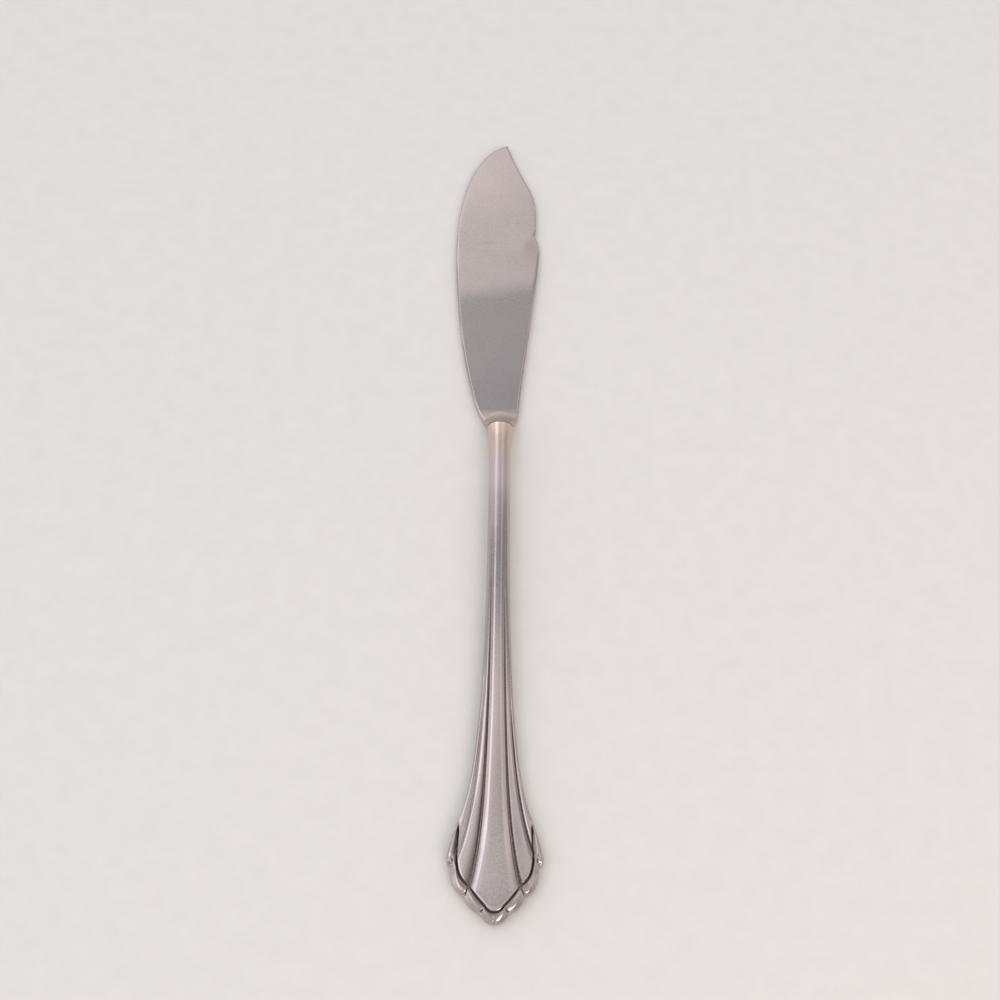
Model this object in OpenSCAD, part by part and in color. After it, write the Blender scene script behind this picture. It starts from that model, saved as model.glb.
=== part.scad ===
// Butter knife: a stainless blade whose round tang is brazed into a solid, die-struck handle.
// Millimetres. The knife lies on its back: +Y runs from the handle's end to the blade's tip,
// +X points to the notched spine of the blade, +Z is up, and the table is at z = 0.

/* [Length] */
// Handle, from its scalloped end to its mouth at the neck
handle_l = 98.1; // [85:0.1:120]
// Blade, from the joint at the neck to the tip, without the tang
blade_l = 73.8; // [66:0.1:90]

/* [Blade] */
// Reach of the rounded edge from the knife's axis
edge_reach = 10.05; // [8:0.05:12]
// Reach of the notched spine from the knife's axis
spine_reach = 8.05; // [6.5:0.05:10]
// Distance from the joint to the blade's widest place
widest_y = 44.4; // [38:0.1:48]
// Thickness of the flat blade where the bolster runs into it
blade_t = 1.6; // [1.2:0.1:2.2]
// Thickness of the blade at its tip
tip_t = 1.1; // [0.8:0.1:1.2]
// Radius along the blade's edges
edge_round = 0.5; // [0.2:0.05:0.5]
// Distance from the widest place to the bottom of the notch in the spine
notch_y = 4.25; // [3:0.05:6]
// How far the notch cuts in from the spine
notch_depth = 1.1; // [0.5:0.05:1.5]
// Length of the small lip above the notch
nick_l = 2.4; // [1.5:0.1:4]
// How far the tip lies from the knife's axis, on the spine side
tip_x = 0.8; // [0:0.1:2]
// Width of the blunt tip
tip_w = 0.4; // [0.2:0.1:1]
// Length of the ramp from the round bolster down to the flat blade
ramp_l = 4.4; // [3:0.1:6]

/* [Neck joint] */
// Diameter of the handle's mouth
mouth_d = 5.3; // [4.2:0.1:6]
// How far the bolster stands out beyond the mouth all round
bolster_step = 0.05; // [0:0.05:0.3]
// Height of the mouth's underside above the table
neck_lift = 0.2; // [0.2:0.1:2]
// Diameter of the tang
tang_d = 2.4; // [1.8:0.1:2.8]
// Length of the tang inside the handle
tang_l = 14; // [8:0.5:20]
// Thickness of the braze between blade and handle
braze_gap = 0.1; // [0.05:0.05:0.2]
// How far the braze lies below the surface at the joint
braze_recess = 0.06; // [0:0.02:0.2]

/* [Handle] */
// Width of the slim part of the handle
neck_w = 4.1; // [3.8:0.1:5]
// Thickness of the slim part of the handle
neck_t = 3.9; // [3.8:0.1:5]
// Thickness of the handle at its wide end
end_t = 2.8; // [2.2:0.1:4]
// Thickness of the rim round the handle
rim_t = 1.5; // [1:0.1:2]
// How far the rim's edge is rounded in, seen from above
rim_round = 0.2; // [0.1:0.05:0.3]
// Width over the curls of the two scrolls
scroll_w = 17.4; // [15:0.2:20]
// Distance from the handle's end to the tops of the scrolls
scroll_l = 17.6; // [14:0.2:20]
// Width of the shaft where the scrolls start
shoulder_w = 12.9; // [11:0.1:14]
// Length over which the shaft's extra width falls to about a third
flare_l = 16; // [10:0.1:20]

/* [Flutes] */
// Width of the middle lobe at the neck
lobe_w = 2.5; // [2:0.1:3.2]
// How much wider the middle lobe is where the scrolls start
lobe_spread = 2.7; // [1.5:0.1:4]
// Length over which that extra width falls to about a third
lobe_flare_l = 20; // [12:1:30]
// Depth of the two inner flutes at the wide end
flute_depth = 0.5; // [0.2:0.05:0.6]
// Depth of the two outer flutes
outer_flute_depth = 0.3; // [0.1:0.05:0.5]
// Depth of the groove that frames the end
border_depth = 0.4; // [0.2:0.05:0.6]
// Width of the slope into that groove
border_slope = 1.2; // [0.6:0.1:2]
// Height of the round bead along the rim
bead_h = 0.35; // [0.1:0.05:0.5]
// Distance from the mouth to where the inner flutes begin
plain_neck_l = 6; // [3:0.5:20]
// Distance from the handle's end to where the outer flutes begin
outer_flute_l = 52; // [40:1:70]

/* [Hidden] */
$fn = 48;

// The frame's origin is on the table, below the middle of the knife's box
total_l = handle_l + braze_gap + blade_l;
axis_x = (edge_reach - max(spine_reach, scroll_w / 2)) / 2;
joint_z = neck_lift + mouth_d / 2;

// Curves and blends
function mix(a, b, t) = a + (b - a) * t;
function clamp01(t) = min(1, max(0, t));
function ease(t) = let (c = clamp01(t)) c * c * (3 - 2 * c);
function quadratic(p, t) = mix(mix(p[0], p[1], t), mix(p[1], p[2], t), t);
function cubic(p, t) =
    mix(quadratic([p[0], p[1], p[2]], t), quadratic([p[1], p[2], p[3]], t), t);

// Triangles between two rows of points, clockwise from outside with the first row above; the
// diagonals of the second half mirror those of the first
function strip(first, second, count) = [
    for (i = [0 : count - 2])
        each i < (count - 1) / 2
            ? [[first + i, first + i + 1, second + i], [first + i + 1, second + i + 1, second + i]]
            : [[first + i, first + i + 1, second + i + 1], [first + i, second + i + 1, second + i]]
];

// Blade outline, measured from the joint: each side is a chain of cubic curves, whose handles
// are shares of the reach and length of their own stretch
bolster_r = mouth_d / 2 + bolster_step;
point_l = blade_l - widest_y;
edge_tip = [tip_x - tip_w / 2, blade_l];
heel = [-0.45 * edge_reach, 0.095 * widest_y];
edge_chain = [
    [[-bolster_r, 0], [-1.11 * bolster_r, 0.23 * heel.y], [0.85 * heel.x, 0.6 * heel.y], heel],
    [heel, [-0.77 * edge_reach, 0.277 * widest_y], [-edge_reach, 0.73 * widest_y],
        [-edge_reach, widest_y]],
    [[-edge_reach, widest_y], [-edge_reach, widest_y + 0.9 * point_l],
        [-0.04 * edge_reach, blade_l], edge_tip]
];
shoulder = [0.465 * spine_reach, 0.088 * widest_y];
notch = [spine_reach - notch_depth, widest_y + notch_y];
nick = [notch.x + 0.37 * notch_depth, notch.y + nick_l];
clip_l = blade_l - nick.y;
spine_tip = [tip_x + tip_w / 2, blade_l];
spine_chain = [
    [[bolster_r, 0], [1.15 * bolster_r, 0.3 * shoulder.y], [0.93 * shoulder.x, 0.6 * shoulder.y],
        shoulder],
    [shoulder, [1.28 * shoulder.x, 0.39 * widest_y], [spine_reach, 0.85 * widest_y],
        [spine_reach, widest_y]],
    [[spine_reach, widest_y], [spine_reach, widest_y + 0.6 * notch_y],
        [notch.x + 0.45 * notch_depth, widest_y + 0.88 * notch_y], notch],
    [notch, [notch.x + 0.28 * notch_depth, notch.y + 0.2 * nick_l],
        [nick.x, notch.y + 0.5 * nick_l], nick],
    [nick, [1.06 * nick.x, nick.y + 0.48 * clip_l], [0.74 * nick.x, nick.y + 0.41 * clip_l],
        spine_tip]
];

// Points along a chain, with a number of steps for each of its curves
function along(chain, steps) = [
    chain[0][0],
    for (i = [0 : len(chain) - 1])
        each [for (k = [1 : steps[i]]) cubic(chain[i], k / steps[i])]
];

// Where a chain lies at a distance from the joint: all its curves run steadily towards the tip
halvings = 24;
function curve_x(curve, y, low = 0, high = 1, left = halvings) =
    let (middle = (low + high) / 2, p = cubic(curve, middle))
    left == 0 ? p.x
    : p.y < y ? curve_x(curve, y, middle, high, left - 1)
    : curve_x(curve, y, low, middle, left - 1);
function chain_x(chain, y, i = 0) =
    y <= chain[i][3].y || i == len(chain) - 1 ? curve_x(chain[i], y) : chain_x(chain, y, i + 1);

// Distances of the blade's rows from the joint: even on the ramp, then as the spine's curves run
ramp_rows = 14;
row_stops = concat(
    [for (k = [0 : ramp_rows]) ramp_l * k / ramp_rows],
    [for (p = along(spine_chain, [4, 14, 7, 5, 16])) if (p.y > ramp_l) p.y]
);

// Heights of the blade's two faces and the radius of its corners, by distance from the joint: the
// front falls steeply from the bolster and runs out into the flat; a little flat is left between
// two corners
flat_min = 0.04;
ramp_power = 1.7;
function blade_back(y) = mix(joint_z - bolster_r, 0, ease(y / ramp_l));
function blade_front(y, ramp = ramp_l) =
    let (flat = mix(blade_t, tip_t, clamp01((y - ramp_l) / (blade_l - ramp_l))))
    mix(flat, joint_z + bolster_r, pow(1 - clamp01(y / ramp), ramp_power));
function blade_corner(y) =
    let (half_t = (blade_front(y) - blade_back(y)) / 2)
    min(mix(bolster_r, edge_round, ease(y / ramp_l)), half_t - flat_min / 2);

// Beside the axis the ramp is shorter, so that it meets the flat in an arch
ramp_arch_share = 0.3;
ramp_least_share = 0.2;
function arched(p) =
    let (
        ramp = ramp_l * max(ramp_least_share, 1 - ramp_arch_share * pow(p.x / bolster_r, 2)),
        back = blade_back(p.y),
        front = blade_front(p.y),
        drop = front - blade_front(p.y, ramp)
    )
    [p.x, p.y, p.z - drop * (p.z - back) / (front - back)];

// One ring of the blade, clockwise from the back's edge corner: a rectangle with round corners,
// and with columns across its front
corner_steps = 4;
front_steps = 12;
ring_size = 4 * (corner_steps + 1) + front_steps - 1;
function ring_corner(x, y, z, r, start) = [
    for (k = [0 : corner_steps])
        let (turn = start - 90 * k / corner_steps)
        [x + r * cos(turn), y, z + r * sin(turn)]
];
function blade_ring(left, right, y) =
    let (
        r = min(blade_corner(y), (right - left - flat_min) / 2),
        low = blade_back(y) + r,
        high = blade_front(y) - r,
        ring = concat(
            ring_corner(left + r, y, low, r, 270),
            ring_corner(left + r, y, high, r, 180),
            [
                for (k = [1 : front_steps - 1])
                    [mix(left + r, right - r, k / front_steps), y, high + r]
            ],
            ring_corner(right - r, y, high, r, 90),
            ring_corner(right - r, y, low, r, 0)
        )
    )
    [for (p = ring) arched(p)];

module blade_body() {
    rings = len(row_stops);
    points = [
        for (y = row_stops) each blade_ring(chain_x(edge_chain, y), chain_x(spine_chain, y), y)
    ];
    sides = [for (i = [0 : rings - 2]) each strip((i + 1) * ring_size, i * ring_size, ring_size)];
    seam = [
        for (i = [0 : rings - 2])
            let (low = i * ring_size, high = low + ring_size, last = ring_size - 1)
            each [[high + last, high, low], [high + last, low, low + last]]
    ];
    root = [for (i = [0 : ring_size - 1]) i];
    tip = [for (i = [ring_size - 1 : -1 : 0]) (rings - 1) * ring_size + i];
    polyhedron(points, concat(sides, seam, [root, tip]));
}

// Blade, bolster and tang are one forging
module blade() {
    tang_root = 1;
    color("lightgray") union() {
        translate([0, handle_l + braze_gap, 0]) blade_body();
        along_axis(handle_l - tang_l) cylinder(d = tang_d, h = tang_l + braze_gap + tang_root);
    }
}

// Places what is drawn along +Z on the axis of the joint, from a distance up the handle
module along_axis(y) {
    translate([0, y, joint_z]) rotate([-90, 0, 0]) children();
}

// Handle in plan: shares of the half width where the flutes lie and the outline has its cusps
inner_share = 0.55;
outer_share = 0.87;
cusp_share = 0.2;
curl_share = 0.76;
mouth_blend = 0.45 * mouth_d;
function swell(y) = exp((y - handle_l) / mouth_blend);
function flare_part(y) = (shoulder_w - neck_w) / 2 * exp((scroll_l - y) / flare_l);
function lip_half(y) =
    neck_w / 2 - rim_round + flare_part(y) + (mouth_d - neck_w) / 2 * swell(y);

// Where a column lies on the shaft: the middle lobe spreads more slowly than the shaft's edges
function lobe_half(y) = lobe_w / 2 + lobe_spread / 2 * exp((scroll_l - y) / lobe_flare_l);
function column_x(share, y) =
    share < inner_share
        ? share / inner_share * lobe_half(y)
        : mix(lobe_half(y), lip_half(y), (share - inner_share) / (1 - inner_share));

// Outline of the end, from the middle of its tip to the top of a scroll, with the share at
// which each curve ends; the sizes are shares of the scrolls' half width and length
end_size = [scroll_w / 2 - rim_round, scroll_l];
scroll_top = [lip_half(scroll_l), scroll_l];
function in_end(shares) = [for (s = shares) [s.x * end_size.x, s.y * end_size.y]];
outline_chain = [
    [cusp_share, in_end([[0, 0.01], [0.18, 0.01], [0.29, 0.115]])],
    [inner_share, in_end([[0.29, 0.115], [0.56, 0.16], [0.62, 0.28]])],
    [curl_share, in_end([[0.62, 0.28], [0.92, 0.32], [0.9, 0.57]])],
    [outer_share, in_end([[0.9, 0.57], [1.01, 0.57], [1, 0.66]])],
    [1, concat(in_end([[1, 0.66], [0.92, 0.79]]), [scroll_top])]
];
border_top_y = 1.035 * scroll_l;
border_top = [lip_half(border_top_y), border_top_y];
border_chain = [
    [cusp_share, in_end([[0, 0.12], [0.135, 0.12], [0.19, 0.18]])],
    [inner_share, in_end([[0.19, 0.18], [0.4, 0.275], [0.53, 0.38]])],
    [outer_share, in_end([[0.53, 0.38], [0.765, 0.44], [0.79, 0.72]])],
    [1, concat(in_end([[0.79, 0.72], [0.76, 0.85]]), [border_top])]
];
function on_chain(chain, share, i = 0) =
    let (from = i == 0 ? 0 : chain[i - 1][0])
    share <= chain[i][0]
        ? quadratic(chain[i][1], (share - from) / (chain[i][0] - from))
        : on_chain(chain, share, i + 1);

// Columns run along the flutes: steps between the shares above, mirrored about the axis
half_columns = [
    for (span = [[0, cusp_share, 5], [cusp_share, inner_share, 7], [inner_share, curl_share, 6],
            [curl_share, outer_share, 5], [outer_share, 1, 6]])
        each [for (k = [1 : span[2]]) mix(span[0], span[1], k / span[2])]
];
columns = concat(
    [for (i = [len(half_columns) - 1 : -1 : 0]) -half_columns[i]], [0], half_columns
);

// Rows run across: straight on the shaft, then bending until they follow the border and rim
fan_y = 1.53 * scroll_l;
shaft_rows = 20;
shaft_crowd = 1.5;
fan_rows = 13;
rim_rows = 5;
rows = shaft_rows + fan_rows + rim_rows + 1;
fan_bend_share = 0.68;
function fan_column(share) =
    let (
        top = [column_x(share, fan_y), fan_y],
        end = on_chain(border_chain, share),
        drop = (fan_y - end.y) * fan_bend_share,
        slope = column_x(share, fan_y - 1) - top.x
    )
    [top, [top.x + slope * drop, fan_y - drop], end];

// A point of the plan, as [x, y, place]: the place is 0 on the shaft, and runs from 1 to 2 on
// the fan, which ends at the border groove, and to 3 at the outer edge
function plan_at(row, share) =
    row <= shaft_rows
        ? let (y = mix(handle_l, fan_y, pow(row / shaft_rows, shaft_crowd)))
        [column_x(share, y), y, 0]
        : row <= shaft_rows + fan_rows
            ? let (
                k = 1 - pow(1 - (row - shaft_rows) / fan_rows, 2),
                p = quadratic(fan_column(share), k)
            )
            [p.x, p.y, 1 + k]
            : let (
                u = (row - shaft_rows - fan_rows) / rim_rows,
                p = mix(on_chain(border_chain, share), on_chain(outline_chain, share), u)
            )
            [p.x, p.y, 2 + u];
function plan(row, share) =
    let (p = plan_at(row, abs(share)))
    [sign(share) * p.x, p.y, p.z];

// Heights along the handle: it is thin at the end, and lifts and thickens towards the neck
low_y = 0.45 * scroll_l;
slim_y = 0.76 * handle_l;
function lift(y) = ease((y - low_y) / (slim_y - low_y));
function mid_z(y) = mix(end_t / 2, joint_z, lift(y));
function half_t(y) = mix(end_t, neck_t, lift(y)) / 2 + (mouth_d - neck_t) / 2 * swell(y);

// Across, the front and back are caps of an ellipse, which the neck's round edges carry on
cap_share = 1 - 2 * rim_round / neck_w;
cap_foot = sqrt(1 - cap_share * cap_share);
function lip_t(y) = mix(rim_t, neck_t * cap_foot, lift(y)) / 2;
function dome(y, x) =
    let (
        across = cap_share * min(1, abs(x) / lip_half(y)),
        rise = (sqrt(1 - across * across) - cap_foot) / (1 - cap_foot)
    )
    mix(lip_t(y), half_t(y), rise);

// Depth of the flutes below the dome: a broad lobe between two narrow ones and the rim's bead;
// the powers say how late each lobe curves down into its flutes
lobe_power = 4;
side_power = 2.5;
rim_power = 2;
inner_fade = 0.56 * handle_l;
outer_fade = 0.42 * outer_flute_l;
function inner_depth(y) = flute_depth * ease((handle_l - plain_neck_l - y) / inner_fade);
function outer_depth(y) = outer_flute_depth * ease((outer_flute_l - y) / outer_fade);
function flutes(y, share) =
    share < inner_share
        ? inner_depth(y) * pow(share / inner_share, lobe_power)
        : share < outer_share
            ? let (u = 2 * (share - inner_share) / (outer_share - inner_share) - 1)
            (u < 0 ? inner_depth(y) : outer_depth(y)) * pow(abs(u), side_power)
            : outer_depth(y) * pow((1 - share) / (1 - outer_share), rim_power);

// The groove and the bead run out at the tops of the scrolls
scroll_fade_share = 0.07;
function runout(share) = ease((1 - share) / scroll_fade_share);
function border_cut(share, place) =
    let (c = fan_column(share), gap = (2 - place) * norm(c[2] - c[0]))
    place < 1 ? 0 : border_depth * runout(share) * pow(max(0, 1 - gap / border_slope), 2);

// The bead is cut into petals at the cusps; on the scrolls its crest lies further out
cut_bead_share = 0.3;
cut_half_share = 0.05;
scroll_crest = 1.8;
function petal(share) =
    let (gap = min([for (cusp = [cusp_share, inner_share, curl_share]) abs(share - cusp)]))
    mix(cut_bead_share, 1, ease(gap / cut_half_share));
function bead(share, u) =
    let (on_scroll = ease((share - curl_share) / (outer_share - curl_share)))
    bead_h * runout(share) * petal(share) * sin(180 * pow(u, mix(1, scroll_crest, on_scroll)));
function panel(p, share) =
    dome(p.y, p.x) - max(flutes(p.y, share), border_cut(share, p.z));
function front_z(row, share) =
    let (p = plan_at(row, abs(share)), u = max(0, p.z - 2))
    u == 0
        ? panel(p, abs(share))
        : let (g = plan_at(shaft_rows + fan_rows, abs(share)))
        mix(panel(g, abs(share)), lip_t(p.y), ease(u)) + bead(abs(share), u);
function back_z(row, share) =
    let (p = plan_at(row, abs(share)), u = max(0, p.z - 2))
    u == 0
        ? dome(p.y, p.x)
        : let (g = plan_at(shaft_rows + fan_rows, abs(share)))
        mix(dome(g.y, g.x), lip_t(p.y), ease(u));

// The rounded edge: a path down one side, round the end and up the other, as [row, share]; it is
// half a circle at the end, and further up it becomes the side of the round neck
edge_path = concat(
    [for (r = [0 : rows - 1]) [r, -1]],
    [for (i = [1 : len(columns) - 2]) [rows - 1, columns[i]]],
    [for (r = [rows - 1 : -1 : 0]) [r, 1]]
);
edge_plan = [for (e = edge_path) plan(e[0], e[1])];
function outward(i) =
    let (
        a = edge_plan[max(0, i - 1)],
        b = edge_plan[min(len(edge_plan) - 1, i + 1)],
        d = [b.x - a.x, b.y - a.y]
    )
    [d.y, -d.x] / norm(d);
edge_turns = [45, 90, 135];
function edge_point(i, turn) =
    let (
        p = edge_plan[i],
        n = i == 0 ? [-1, 0] : i == len(edge_plan) - 1 ? [1, 0] : outward(i),
        down = 1 - turn / 90,
        reach = rim_round * mix(sin(turn), 1 - down * down, lift(p.y)),
        rise = lip_t(p.y) * mix(cos(turn), down, lift(p.y))
    )
    [p.x + n.x * reach, p.y + n.y * reach, mid_z(p.y) + rise];

// Indices into the handle's points: the front grid, the back grid, then the edge's three lines
wide = len(columns);
back_start = rows * wide;
edge_start = 2 * rows * wide;
path_size = len(edge_path);
function path_index(i) =
    i < rows ? i * wide
    : i < rows + wide - 2 ? (rows - 1) * wide + i - rows + 1
    : (path_size - 1 - i) * wide + wide - 1;
function wall(first, second) = [
    for (i = [0 : path_size - 2])
        each [[first[i], first[i + 1], second[i + 1]], [first[i], second[i + 1], second[i]]]
];

module handle_body() {
    front = [
        for (r = [0 : rows - 1], s = columns)
            let (p = plan(r, s))
            [p.x, p.y, mid_z(p.y) + front_z(r, s)]
    ];
    back = [
        for (r = [0 : rows - 1], s = columns)
            let (p = plan(r, s))
            [p.x, p.y, mid_z(p.y) - back_z(r, s)]
    ];
    edge = [for (turn = edge_turns, i = [0 : path_size - 1]) edge_point(i, turn)];
    lines = [
        [for (i = [0 : path_size - 1]) path_index(i)],
        for (k = [0 : len(edge_turns) - 1])
            [for (i = [0 : path_size - 1]) edge_start + k * path_size + i],
        [for (i = [0 : path_size - 1]) back_start + path_index(i)]
    ];
    front_faces = [for (r = [0 : rows - 2]) each strip(r * wide, (r + 1) * wide, wide)];
    back_faces = [
        for (r = [0 : rows - 2])
            each strip(back_start + (r + 1) * wide, back_start + r * wide, wide)
    ];
    walls = [for (k = [0 : len(lines) - 2]) each wall(lines[k], lines[k + 1])];
    mouth = concat(
        [for (k = [len(lines) - 1 : -1 : 1]) lines[k][path_size - 1]],
        [for (i = [wide - 1 : -1 : 0]) i],
        [for (k = [1 : len(lines) - 2]) lines[k][0]],
        [for (i = [0 : wide - 2]) back_start + i]
    );
    polyhedron(concat(front, back, edge), concat(front_faces, back_faces, walls, [mouth]));
}

socket_l = tang_l + braze_gap;

// Solid handle with a blind socket for the tang
module handle() {
    over = 1;
    color("silver") difference() {
        handle_body();
        along_axis(handle_l - socket_l) cylinder(d = tang_d + 2 * braze_gap, h = socket_l + over);
    }
}

// Braze: a cup round the tang, with a thin flange between the bolster and the mouth
module neck_braze() {
    tang_r = tang_d / 2;
    socket_r = tang_r + braze_gap;
    flange_r = mouth_d / 2 - braze_recess;
    color("darkgoldenrod") along_axis(handle_l - socket_l) rotate_extrude()
        polygon([
            [0, 0], [socket_r, 0], [socket_r, socket_l], [flange_r, socket_l],
            [flange_r, socket_l + braze_gap], [tang_r, socket_l + braze_gap], [tang_r, braze_gap],
            [0, braze_gap]
        ]);
}

// Moves a piece from the handle's end to the frame's origin
module place() {
    translate([axis_x, -total_l / 2, 0]) children();
}

place() blade();
place() handle();
place() neck_braze();
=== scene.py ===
import math

import bmesh
import bpy
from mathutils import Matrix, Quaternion, Vector


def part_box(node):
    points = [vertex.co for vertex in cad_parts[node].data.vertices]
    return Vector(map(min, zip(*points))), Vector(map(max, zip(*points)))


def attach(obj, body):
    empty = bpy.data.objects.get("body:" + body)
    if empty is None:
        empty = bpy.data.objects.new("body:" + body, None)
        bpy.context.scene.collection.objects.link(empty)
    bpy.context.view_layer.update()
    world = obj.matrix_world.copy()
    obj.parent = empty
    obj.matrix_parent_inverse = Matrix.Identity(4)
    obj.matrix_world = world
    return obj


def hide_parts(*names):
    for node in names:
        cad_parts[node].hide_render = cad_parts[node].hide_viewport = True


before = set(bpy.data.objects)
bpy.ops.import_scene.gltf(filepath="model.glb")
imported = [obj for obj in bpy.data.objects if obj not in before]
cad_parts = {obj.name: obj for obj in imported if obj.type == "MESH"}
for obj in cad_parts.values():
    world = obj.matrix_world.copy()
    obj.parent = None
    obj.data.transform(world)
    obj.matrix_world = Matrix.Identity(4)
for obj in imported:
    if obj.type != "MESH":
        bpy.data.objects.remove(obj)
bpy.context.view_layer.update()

mm = 0.001  # the knife's own sizes are written in millimetres

# settings that many nodes share
times = {"operation": "MULTIPLY"}
timesPlus = {"operation": "MULTIPLY_ADD"}
larger = {"operation": "MAXIMUM"}
smooth = {"interpolation_type": "SMOOTHSTEP"}
inColor = {"data_type": "RGBA"}


def hexToLinear(code):
    channels = [int(code[i:i + 2], 16) / 255 for i in (1, 3, 5)]
    linear = [c / 12.92 if c <= 0.04045 else ((c + 0.055) / 1.055) ** 2.4 for c in channels]
    return (*linear, 1.0)


def addNode(tree, kind, settings=None, inputs=None, curve=None):
    node = tree.nodes.new(kind)
    for name, value in (settings or {}).items():
        setattr(node, name, value)
    for socket, value in (inputs or {}).items():
        if isinstance(value, bpy.types.NodeSocket):
            tree.links.new(value, node.inputs[socket])
        else:
            node.inputs[socket].default_value = value
    if curve:  # points of a Float Curve, first to last
        node.mapping.use_clip = False
        points = node.mapping.curves[0].points
        points[0].location, points[1].location = curve[0], curve[-1]
        for spot in curve[1:-1]:
            points.new(*spot)
        for point in points:
            point.handle_type = "AUTO_CLAMPED"
        node.mapping.update()
    return node


def newMaterial(name, metallic):
    material = bpy.data.materials.new(name)
    material.use_nodes = True
    tree = material.node_tree
    shader = tree.nodes["Principled BSDF"]
    shader.inputs["Metallic"].default_value = metallic
    spot = addNode(tree, "ShaderNodeTexCoord").outputs["Object"]
    return material, tree, shader, spot


# camera at the photograph's angle: where it stands and looks in mm, its tilt in degrees
photoCamera = {"place": (4.8, -124.5, 254.0), "aim": (0.8, -2.9, 0.0), "roll": -1.41, "lens": 50.4}


def makeCamera(setup):
    data = bpy.data.cameras.new("photoCamera")
    data.lens, data.sensor_width = setup["lens"], 36
    data.clip_start, data.clip_end = 0.01, 20
    camera = bpy.data.objects.new("photoCamera", data)
    place, aim = Vector(setup["place"]) * mm, Vector(setup["aim"]) * mm
    tilt = Quaternion((0, 0, 1), math.radians(setup["roll"]))
    camera.rotation_mode = "QUATERNION"
    camera.rotation_quaternion = (aim - place).to_track_quat("-Z", "Y") @ tilt
    camera.location = place
    bpy.context.scene.collection.objects.link(camera)
    bpy.context.scene.camera = camera


makeCamera(photoCamera)
print("camera set")

# light: a pale room with darker beams across it, strips on the left, a weak card on the right, a near lamp
# what a part of the knife mirrors depends on how far ahead it looks, so the room's levels run that way
studio = {
    "darkColor": "#e7f1ff", "lightColor": "#fbfafd",  # the darker beams are cooler than the walls
    "colorLevels": (0.4, 1.0),  # levels at which the room has the one color and the other
    "roomLevels": [(0.0, 1.02), (0.03, 1.02), (0.12, 0.86), (0.169, 0.64), (0.19, 1.16), (0.225, 1.16),
                   (0.255, 0.88), (0.29, 0.76), (0.325, 0.6), (0.4, 0.53), (0.425, 0.53), (0.432, 0.8),
                   (0.44, 1.08), (0.455, 1.08), (0.47, 0.7), (0.5, 0.64), (0.55, 0.71), (0.5715, 0.69),
                   (0.5765, 1.0), (0.585, 0.99), (0.6, 0.97), (0.62, 1.02), (0.65, 1.13), (0.72, 0.96),
                   (1.0, 0.92)],
    "slant": 0.1, "slantReach": 0.08,  # overhead the beams lie a little askew
    "sideLevels": [(-1.0, 1.2), (-0.04, 1.04), (0.04, 0.95), (1.0, 0.8)],  # left wall to right wall
    "rearLevel": 0.65, "rearReach": 0.6,  # the wall behind the camera, and how far round it is whole
    "boxes": [
        {"name": "leftStrip", "place": (-0.40, 0.02, 0.66), "turn": (0, -31, 0),
         "size": (0.30, 0.54), "level": 0.75, "color": "#e2e6ff"},
        {"name": "leftStripFar", "place": (-0.40, 0.47, 0.66), "turn": (0, -31, 0),
         "size": (0.30, 0.36), "level": 0.4, "color": "#e2e6ff"},
        {"name": "rightCard", "place": (0.40, 0.20, 0.66), "turn": (0, 31, 0),
         "size": (0.34, 0.9), "level": 0.2, "color": "#ffe9dc"},
        {"name": "nearLamp", "place": (0.34, -0.62, 0.50), "turn": (41.5, 34.3, 0),
         "size": (0.5, 0.42), "level": 2.5, "color": "#fff8f0"},
    ],
}


def makeRoom(setup):
    world = bpy.data.worlds.new("softRoom")
    world.use_nodes = True
    tree = world.node_tree
    background = tree.nodes["Background"]
    toward = addNode(tree, "ShaderNodeTexCoord").outputs["Generated"]
    way = addNode(tree, "ShaderNodeSeparateXYZ", {}, {0: toward}).outputs
    overhead = addNode(tree, "ShaderNodeClamp", {}, {
        "Value": way["X"], "Min": -setup["slantReach"], "Max": setup["slantReach"]})
    ahead = addNode(tree, "ShaderNodeMath", timesPlus, {
        0: overhead.outputs[0], 1: -setup["slant"], 2: way["Y"]})
    level = addNode(tree, "ShaderNodeFloatCurve", {}, {"Value": ahead.outputs[0]}, setup["roomLevels"])
    dark, light = setup["colorLevels"]
    lightness = addNode(tree, "ShaderNodeMapRange", {}, {
        "Value": level.outputs[0], "From Min": dark, "From Max": light})
    wallColor = addNode(tree, "ShaderNodeMix", inColor, {
        0: lightness.outputs["Result"],
        6: hexToLinear(setup["darkColor"]), 7: hexToLinear(setup["lightColor"])})
    tree.links.new(wallColor.outputs[2], background.inputs["Color"])
    sides = addNode(tree, "ShaderNodeFloatCurve", {}, {"Value": way["X"]}, setup["sideLevels"])
    rear = addNode(tree, "ShaderNodeMapRange", smooth, {
        "Value": way["Y"], "From Min": 0.0, "From Max": -setup["rearReach"],
        "To Min": 1.0, "To Max": setup["rearLevel"]})
    walls = addNode(tree, "ShaderNodeMath", times, {0: sides.outputs[0], 1: rear.outputs["Result"]})
    total = addNode(tree, "ShaderNodeMath", times, {0: level.outputs[0], 1: walls.outputs[0]})
    tree.links.new(total.outputs[0], background.inputs["Strength"])
    return world


def makeStudio(setup):
    scene = bpy.context.scene
    scene.view_settings.view_transform = "Standard"
    scene.world = makeRoom(setup)
    for box in setup["boxes"]:
        data = bpy.data.lights.new(box["name"], "AREA")
        data.shape = "RECTANGLE"
        data.size, data.size_y = box["size"]
        data.energy = 4 * data.size * data.size_y * box["level"]  # level is what a mirror adds to the room
        data.color = hexToLinear(box["color"])[:3]
        lamp = bpy.data.objects.new(box["name"], data)
        lamp.location = box["place"]
        lamp.rotation_euler = [math.radians(angle) for angle in box["turn"]]
        lamp.visible_camera = False
        scene.collection.objects.link(lamp)


makeStudio(studio)
print("studio lit")

# blends, curves and steel shared by the blade and the handle

patternStart = (0.113, 0.271, 0.057)  # where in the noise the steel's patterns begin


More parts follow.
